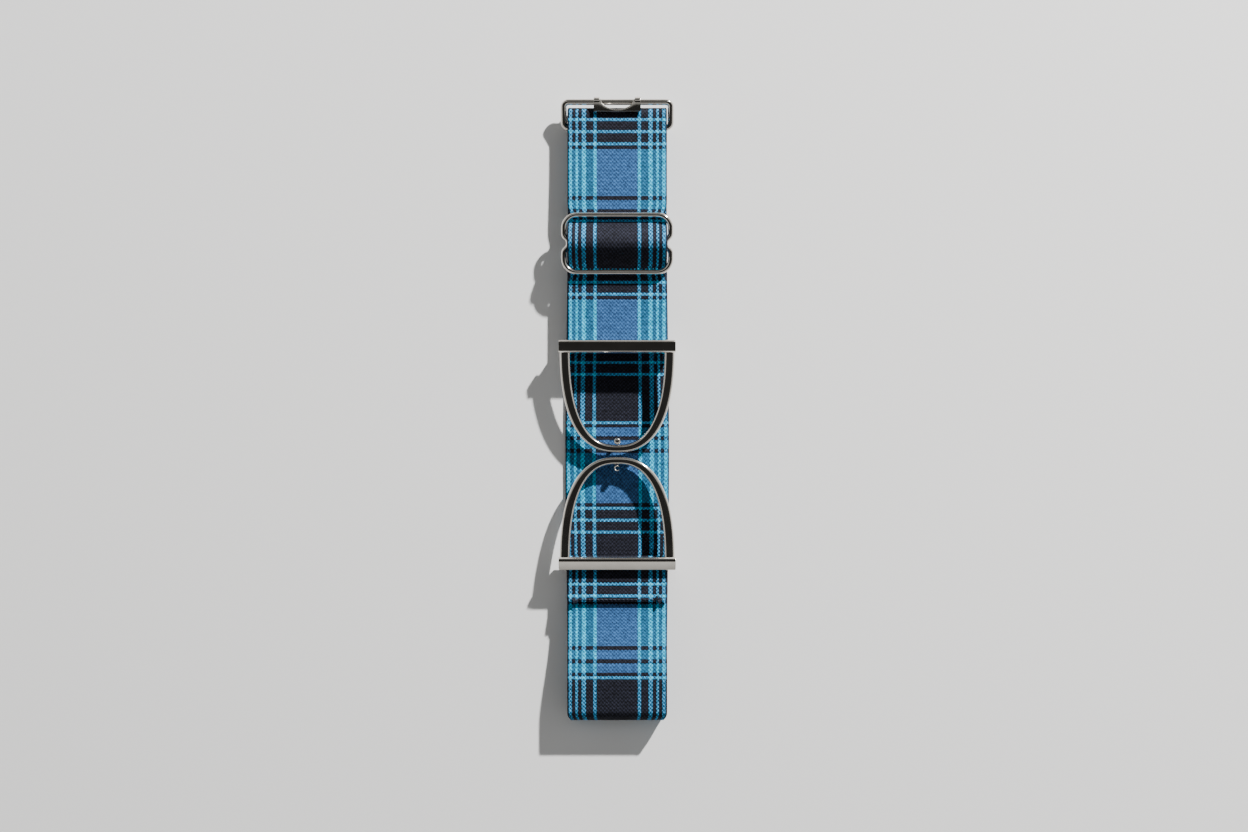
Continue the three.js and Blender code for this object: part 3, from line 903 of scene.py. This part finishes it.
def revolve(profile, centre):
    """Solid of revolution about Z; profile is (radius, height) from the axis back to it."""
    sides = 32
    bm = bmesh.new()
    base = bm.verts.new((centre.x, centre.y, centre.z + profile[0][1]))
    tip = bm.verts.new((centre.x, centre.y, centre.z + profile[-1][1]))
    rings = []
    for radius, height in profile[1:-1]:
        rings.append([
            bm.verts.new((centre.x + radius * c, centre.y + radius * s, centre.z + height))
            for c, s in circle(sides)])
    for near, far in zip(rings, rings[1:]):
        for k in range(sides):
            bm.faces.new((near[k], near[(k + 1) % sides], far[(k + 1) % sides], far[k]))
    for k in range(sides):
        bm.faces.new((base, rings[0][(k + 1) % sides], rings[0][k]))
        bm.faces.new((tip, rings[-1][k], rings[-1][(k + 1) % sides]))
    return bm


def catch_stud():
    centre = Vector((0, UPPER_PIN.y - CATCH_OFFSET, UPPER_PIN.z + FRAME_LIFT - 0.6 * MM))
    r = 1.7 * MM
    h = 4.4 * MM
    head = [(r * math.cos(a), h - r * 0.62 + r * 0.62 * math.sin(a))
            for a in [math.radians(d) for d in range(0, 90, 10)]]
    neck = [(0.85 * MM, 0), (1.0 * MM, 0.15 * MM), (1.0 * MM, h * 0.42), (1.15 * MM, h * 0.5)]
    profile = [(0, 0)] + neck + [(r * 0.93, h - r * 0.78)] + head + [(0, h)]
    bm = revolve(profile, centre)
    tip_about(bm, UPPER_PIN, -1)
    declare_metal(new_object("stud", bm, NICKEL), "upper_clasp", "catch_stud")


def catch_hook():
    low_z = LOWER_PIN.z + FRAME_LIFT + 0.4 * MM
    half_height = 1.2 * MM
    centre = Vector((0, LOWER_PIN.y + CATCH_OFFSET, low_z + half_height))
    sides = 16
    wire = 0.5 * MM
    ring_r = 1.7 * MM - wire
    bm = bmesh.new()
    rings = []
    steps = 40
    for i in range(steps + 1):
        angle = 0.62 + (2 * math.pi - 1.24) * i / steps
        end_scale = min(1.0, 0.45 + 4.0 * min(i, steps - i) / steps)
        outward = Vector((math.cos(angle), math.sin(angle), 0))
        p = centre + outward * ring_r
        ring = []
        for k in range(sides):
            turn = 2 * math.pi * k / sides
            rise = Vector((0, 0, half_height * end_scale * math.sin(turn)))
            ring.append(bm.verts.new(p + outward * wire * end_scale * math.cos(turn) + rise))
        rings.append(ring)
    grid_faces(bm, rings, False)
    tip_about(bm, LOWER_PIN, 1)
    declare_metal(new_object("hook", bm, NICKEL), "lower_clasp", "catch_hook")


def hook_plate():
    """Plate with a half-moon opening and two knuckles round the link's outer bar."""
    low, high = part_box("hook_plate")
    bar = joint_at("hook_plate_swing")
    thickness = 1.2 * MM
    knuckle_w = 3.0 * MM
    knuckle_r = high.y - bar.y
    bore_r = LINK_WIRE_R + 0.35 * MM
    top = high.z - 0.1 * MM
    half_x = high.x
    cut_x = half_x - knuckle_w - 0.25 * MM
    bm = bmesh.new()

    # Plate: rows of vertices between its straight lower edge and the opening's rim
    columns = 48
    edge_r = 0.18 * MM
    rows = []
    for i in range(columns + 1):
        x = -half_x + 2 * half_x * i / columns
        if abs(x) >= cut_x:
            rim = bar.y - 0.1 * MM
        else:
            sag = math.sqrt(max(0.0, 1 - (x / (cut_x + 0.25 * MM)) ** 2))
            rim = bar.y + 1.3 * MM - 5.3 * MM * sag
        rim = min(rim, bar.y - 0.1 * MM)
        section = rounded_profile([
            (low.y, top - thickness), (rim, top - thickness), (rim, top), (low.y, top)], edge_r, 3)
        rows.append([bm.verts.new((x, y, z)) for y, z in section])
    grid_faces(bm, rows, False)

    # Raised rim wire round the half-moon opening
    rim_r = 0.34 * MM
    rings = []
    for i in range(49):
        angle = math.pi + math.pi * i / 48
        x = cut_x * math.cos(angle)
        y = bar.y + 0.9 * MM + 5.3 * MM * math.sin(angle)
        tangent = Vector((-cut_x * math.sin(angle), 5.3 * MM * math.cos(angle), 0)).normalized()
        outward = Vector((tangent.y, -tangent.x, 0))
        middle_of_rim = Vector((x, y, top - 0.12 * MM))
        rings.append([bm.verts.new(middle_of_rim + outward * rim_r * c + Vector((0, 0, rim_r * s)))
                      for c, s in circle(12)])
    grid_faces(bm, rings, False)

    # Knuckles: split tubes that close on the plate
    for side in (-1, 1):
        x_mid = side * (half_x - knuckle_w / 2)
        rings = []
        turns = 40
        for i in range(turns):
            angle = 2 * math.pi * i / turns
            direction = Vector((0, math.cos(angle), math.sin(angle)))
            section = rounded_profile([
                (bore_r, -knuckle_w / 2), (knuckle_r, -knuckle_w / 2), (knuckle_r, knuckle_w / 2),
                (bore_r, knuckle_w / 2)], 0.2 * MM, 3)
            rings.append([bm.verts.new(Vector((x_mid + w, bar.y, bar.z)) + direction * r)
                          for r, w in section])
        grid_faces(bm, rings, True)
    declare_metal(new_object("plate", bm, NICKEL), "plate", "hook_plate")


end_link()
slide_adjuster()
clasp_half("upper_stirrup", "upper_stirrup_frame", UPPER_PIN, -1, (0.8 * MM, 0.8 * MM),
           "upper_clasp")
clasp_half("lower_stirrup", "lower_stirrup_frame", LOWER_PIN, 1, (4.2 * MM, 2.4 * MM),
           "lower_clasp")
turned_pin("upper_pin", "upper_strap_pin", UPPER_PIN, "upper_clasp")
turned_pin("lower_pin", "lower_strap_pin", LOWER_PIN, "lower_clasp")
catch_stud()
catch_hook()
hook_plate()


def sharpen_shading():
    """Smooth shading that breaks at hard edges."""
    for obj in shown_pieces():
        if obj.type == "MESH" and obj.data.materials and obj.data.materials[0] == NICKEL:
            bm = bmesh.new()
            bm.from_mesh(obj.data)
            for edge in bm.edges:
                if len(edge.link_faces) == 2 and edge.calc_face_angle() > math.radians(38):
                    edge.smooth = False
            bm.to_mesh(obj.data)
            bm.free()


sharpen_shading()

# ---------------------------------------------------------------- floor and light


def floor():
    size = 6.0
    bm = bmesh.new()
    corners = [(-size, -size), (size, -size), (size, size), (-size, size)]
    bm.faces.new([bm.verts.new((x, y, -0.02 * MM)) for x, y in corners])
    n = Nodes("pale_floor")
    n.shader.inputs["Base Color"].default_value = srgb(243, 243, 243)
    n.shader.inputs["Roughness"].default_value = 0.9
    n.shader.inputs["Specular IOR Level"].default_value = 0.1
    new_object("floor", bm, n.material, smooth=False)


def key_light():
    """Small bright studio lamp, low from +x and +y."""
    data = bpy.data.lights.new("key", "AREA")
    data.shape = "DISK"
    data.size = 0.09
    data.energy = 302
    data.color = (1.0, 0.99, 0.975)
    lamp = bpy.data.objects.new("key", data)
    towards = Vector((1.256, 1.863, 1.0)).normalized()
    lamp.location = towards * 3.0
    lamp.rotation_euler = towards.to_track_quat("Z", "Y").to_euler()
    bpy.context.scene.collection.objects.link(lamp)


def surroundings():
    """Soft room light: pale walls, a dark ceiling and a soft panel overhead."""
    world = bpy.data.worlds.new("room")
    bpy.context.scene.world = world
    world.use_nodes = True
    tree = world.node_tree
    background = tree.nodes["Background"]
    place = tree.nodes.new("ShaderNodeTexCoord")
    split = tree.nodes.new("ShaderNodeSeparateXYZ")
    lean = tree.nodes.new("ShaderNodeMath")
    lean.operation = "MULTIPLY_ADD"
    lean.inputs[1].default_value = 0.3
    ramp = tree.nodes.new("ShaderNodeValToRGB")
    tree.links.new(place.outputs["Generated"], split.inputs[0])
    tree.links.new(split.outputs[1], lean.inputs[0])
    tree.links.new(split.outputs[2], lean.inputs[2])
    tree.links.new(lean.outputs[0], ramp.inputs[0])
    overhead = tree.nodes.new("ShaderNodeValToRGB")
    tree.links.new(split.outputs[1], overhead.inputs[0])
    brighter = tree.nodes.new("ShaderNodeMix")
    brighter.data_type = "RGBA"
    brighter.blend_type = "LIGHTEN"
    brighter.inputs[0].default_value = 1.0
    tree.links.new(ramp.outputs[0], brighter.inputs[6])
    tree.links.new(overhead.outputs[0], brighter.inputs[7])
    tree.links.new(brighter.outputs[2], background.inputs[0])
    walls = [(0.0, 0.4), (0.2, 0.6), (0.46, 1.15), (0.58, 0.12), (0.8, 0.04), (1.0, 0.03)]
    panel = [(0.0, 0.0), (0.24, 0.0), (0.36, 0.55), (0.6, 0.55), (0.72, 0.0)]
    for node, stops in ((ramp, walls), (overhead, panel)):
        elements = node.color_ramp.elements
        while len(elements) < len(stops):
            elements.new(0.5)
        for element, (position, value) in zip(elements, stops):
            element.position = position
            element.color = (value, value, value * 0.985, 1)
    background.inputs[1].default_value = 0.76


floor()
key_light()
surroundings()
